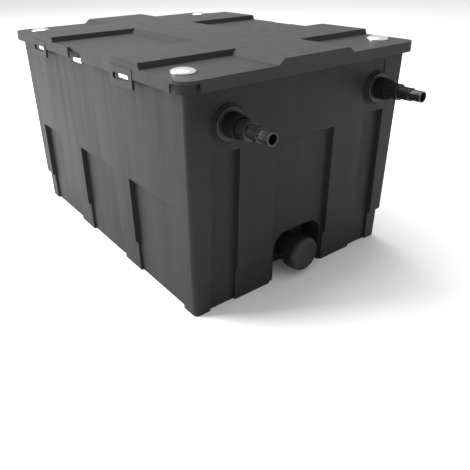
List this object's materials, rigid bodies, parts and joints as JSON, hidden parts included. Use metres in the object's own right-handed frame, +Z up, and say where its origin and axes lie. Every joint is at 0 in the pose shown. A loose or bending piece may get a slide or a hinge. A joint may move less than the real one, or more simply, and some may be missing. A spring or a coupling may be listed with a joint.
{
  "type": "box-type pond filter",
  "caption": "Tapered box pond filter with a lift-off lid, stepped hose ports, a recessed drain cap, and foam, mat and ball media inside.",
  "frame": {"origin": "centre of the tank's underside, on the ground", "axes": "+Z up; the short face with the hose ports and the drain faces -Y; the long faces face -X and +X"},
  "size_m": [0.598, 0.8944, 0.477],
  "materials": {
    "ball_plastic": "moulded, dark blue",
    "bright_metal": "polished",
    "thread_plastic": "black, satin",
    "fitting_plastic": "black, glossy",
    "seal_rubber": "soft black rubber",
    "mat_green": "bonded fibre mat, springy",
    "foam_coarse_blue": "open-cell foam, coarse",
    "foam_fine_tan": "open-cell foam, fine",
    "foam_medium_black": "open-cell foam, medium",
    "grid_plastic": "black, satin",
    "collar_plastic": "black, matte",
    "lid_plastic": "moulded polyethylene, satin, anthracite",
    "tank_plastic": "moulded polyethylene, satin, anthracite"
  },
  "bodies": {
    "tank_body": {"bio_ball_1": "ball_plastic", "bio_ball_2": "ball_plastic", "bio_ball_3": "ball_plastic", "bio_ball_4": "ball_plastic", "bio_ball_5": "ball_plastic", "bio_ball_6": "ball_plastic", "bio_ball_7": "ball_plastic", "bio_ball_8": "ball_plastic", "catch_left_back": "bright_metal", "catch_left_front": "bright_metal", "catch_left_middle": "bright_metal", "catch_right_back": "bright_metal", "catch_right_front": "bright_metal", "catch_right_middle": "bright_metal", "drain_backnut": "thread_plastic", "drain_gasket": "seal_rubber", "drain_spigot": "thread_plastic", "filter_mat_1": "mat_green", "filter_mat_2": "mat_green", "filter_mat_3": "mat_green", "filter_mat_4": "mat_green", "foam_coarse": "foam_coarse_blue", "foam_fine": "foam_fine_tan", "foam_finest": "foam_fine_tan", "foam_medium": "foam_medium_black", "inlet_backnut": "thread_plastic", "inlet_bulkhead": "thread_plastic", "inlet_gasket": "seal_rubber", "inlet_grid_back": "grid_plastic", "inlet_grid_front": "grid_plastic", "media_basket": "grid_plastic", "outlet_backnut": "thread_plastic", "outlet_bulkhead": "thread_plastic", "outlet_gasket": "seal_rubber", "outlet_grid_back": "grid_plastic", "outlet_grid_front": "grid_plastic", "partition": "grid_plastic", "tank": "tank_plastic"},
    "lid_body": {"lid": "lid_plastic"},
    "knob_1": {"lid_knob_1": "bright_metal"},
    "knob_2": {"lid_knob_2": "bright_metal"},
    "knob_3": {"lid_knob_3": "bright_metal"},
    "knob_4": {"lid_knob_4": "bright_metal"},
    "inlet_tail": {"inlet_hose_tail": "fitting_plastic", "inlet_oring": "seal_rubber"},
    "inlet_nut": {"inlet_union_nut": "collar_plastic"},
    "outlet_tail": {"outlet_hose_tail": "fitting_plastic", "outlet_oring": "seal_rubber"},
    "outlet_nut": {"outlet_union_nut": "collar_plastic"},
    "drain_seal_body": {"drain_seal": "seal_rubber"},
    "drain_cap_body": {"drain_cap": "fitting_plastic"}
  },
  "joints": [
    {"name": "lid_lift", "type": "slide", "parent": "tank_body", "child": "lid_body", "axis": [0, 0, 1], "range_m": [0, 0.3]},
    {"name": "knob_1_turn", "type": "hinge", "parent": "lid_body", "child": "knob_1", "pos_m": [-0.251, -0.333, 0.466], "axis": [0, 0, 1], "range_deg": [0, 90]},
    {"name": "knob_2_turn", "type": "hinge", "parent": "lid_body", "child": "knob_2", "pos_m": [0.251, -0.333, 0.466], "axis": [0, 0, 1], "range_deg": [0, 90]},
    {"name": "knob_3_turn", "type": "hinge", "parent": "lid_body", "child": "knob_3", "pos_m": [0.251, 0.333, 0.466], "axis": [0, 0, 1], "range_deg": [0, 90]},
    {"name": "knob_4_turn", "type": "hinge", "parent": "lid_body", "child": "knob_4", "pos_m": [-0.251, 0.333, 0.466], "axis": [0, 0, 1], "range_deg": [0, 90]},
    {"name": "inlet_nut_turn", "type": "hinge", "parent": "inlet_tail", "child": "inlet_nut", "pos_m": [-0.195, -0.4015, 0.379], "axis": [0, -1, 0], "range_deg": [0, 1080]},
    {"name": "inlet_tail_slide", "type": "slide", "parent": "tank_body", "child": "inlet_tail", "axis": [0, -1, 0], "range_m": [0, 0.0135]},
    {"name": "outlet_nut_turn", "type": "hinge", "parent": "outlet_tail", "child": "outlet_nut", "pos_m": [0.195, -0.4015, 0.379], "axis": [0, -1, 0], "range_deg": [0, 1080]},
    {"name": "outlet_tail_slide", "type": "slide", "parent": "tank_body", "child": "outlet_tail", "axis": [0, -1, 0], "range_m": [0, 0.0135]},
    {"name": "drain_cap_turn", "type": "hinge", "parent": "drain_seal_body", "child": "drain_cap_body", "pos_m": [0.004, -0.37, 0.0485], "axis": [0, -1, 0], "range_deg": [0, 1440]},
    {"name": "drain_cap_slide", "type": "slide", "parent": "tank_body", "child": "drain_seal_body", "axis": [0, -1, 0], "range_m": [0, 0.024]}
  ],
  "couplings": [
    {"joint": "inlet_tail_slide", "follows": "inlet_nut_turn", "m_per_rad": 0.0007162},
    {"joint": "outlet_tail_slide", "follows": "outlet_nut_turn", "m_per_rad": 0.0007162},
    {"joint": "drain_cap_slide", "follows": "drain_cap_turn", "m_per_rad": 0.00095493}
  ]
}
